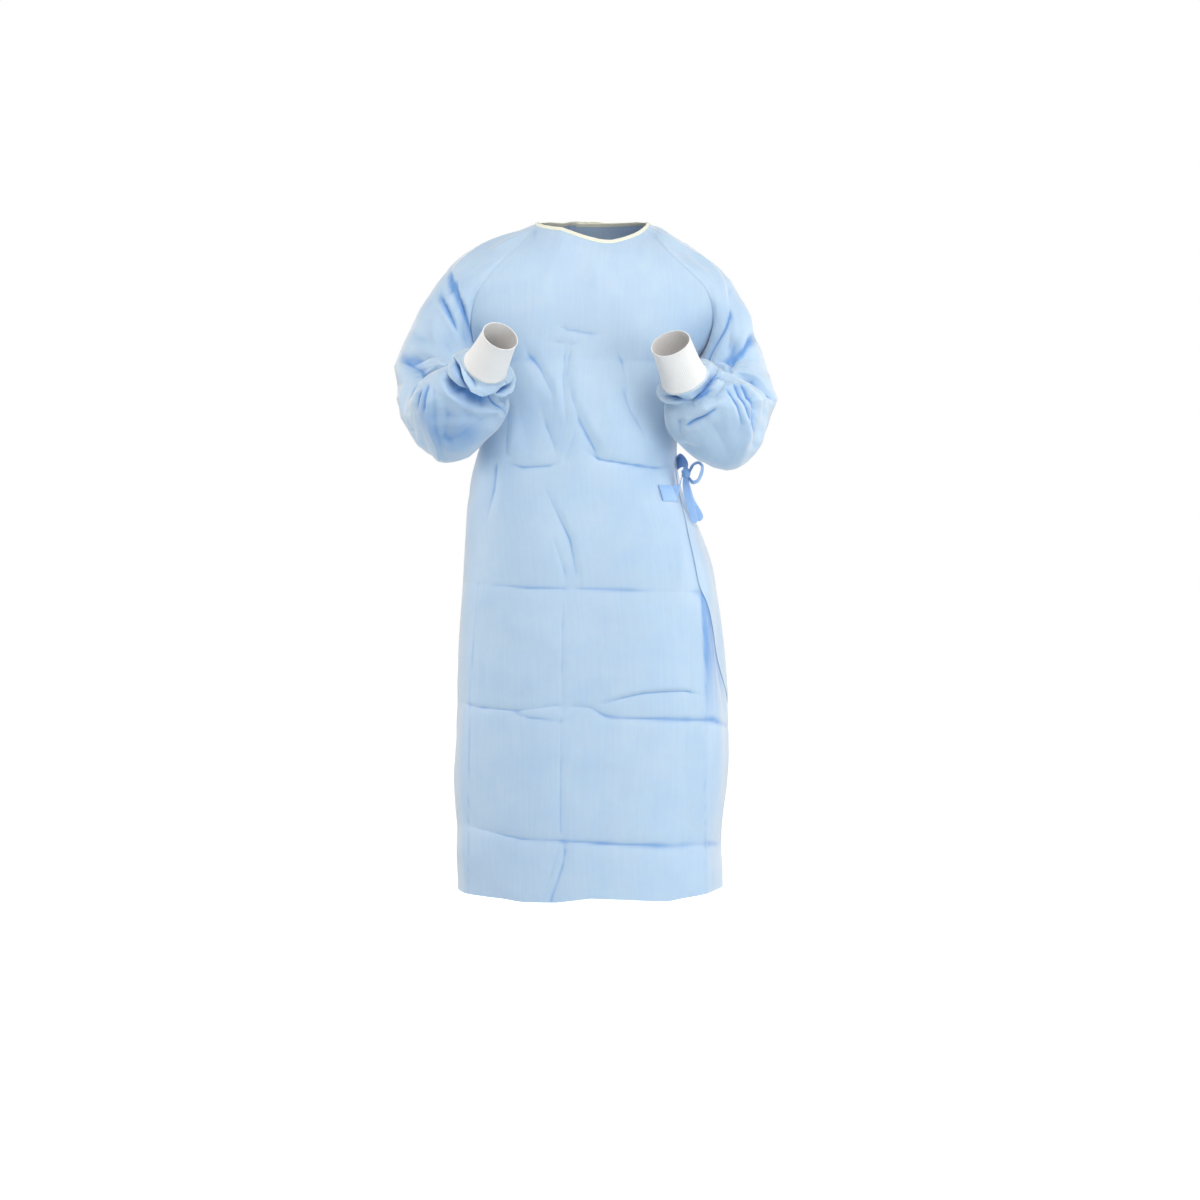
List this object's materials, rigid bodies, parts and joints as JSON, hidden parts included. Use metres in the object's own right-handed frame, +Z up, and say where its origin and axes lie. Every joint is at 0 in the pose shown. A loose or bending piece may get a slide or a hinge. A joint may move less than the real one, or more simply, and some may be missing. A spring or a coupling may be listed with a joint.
{
  "type": "surgical gown",
  "caption": "Long-sleeved wrap-back surgical gown in light nonwoven cloth, held in its worn form, with knit cuffs, a bound neckline and a side tie.",
  "frame": {"origin": "middle of the neck opening, level with the points where the gown lies on the shoulders beside the neck", "axes": "+X towards the wearer's left, -Y in front of the wearer, +Z up; the gown hangs down along -Z"},
  "size_m": [0.6538, 0.5128, 1.1684],
  "materials": {
    "gown_cloth": "matt light blue nonwoven with a faint bonded grain",
    "knit_cuff": "matt off-white rib knit",
    "neck_binding": "matt cream bias binding",
    "tie": "matt blue nonwoven strap"
  },
  "bodies": {
    "root": {"front_panel": "gown_cloth", "back_panel_left": "gown_cloth", "back_panel_right": "gown_cloth", "sleeve_right": "gown_cloth", "sleeve_left": "gown_cloth", "cuff_right": "knit_cuff", "cuff_left": "knit_cuff", "neck_binding": "neck_binding", "tie_front_strap": "tie", "tie_side_strap": "tie", "tie_loop": "tie", "tie_tail_long": "tie", "tie_tail_short": "tie", "tie_knot": "tie"}
  },
  "joints": []
}
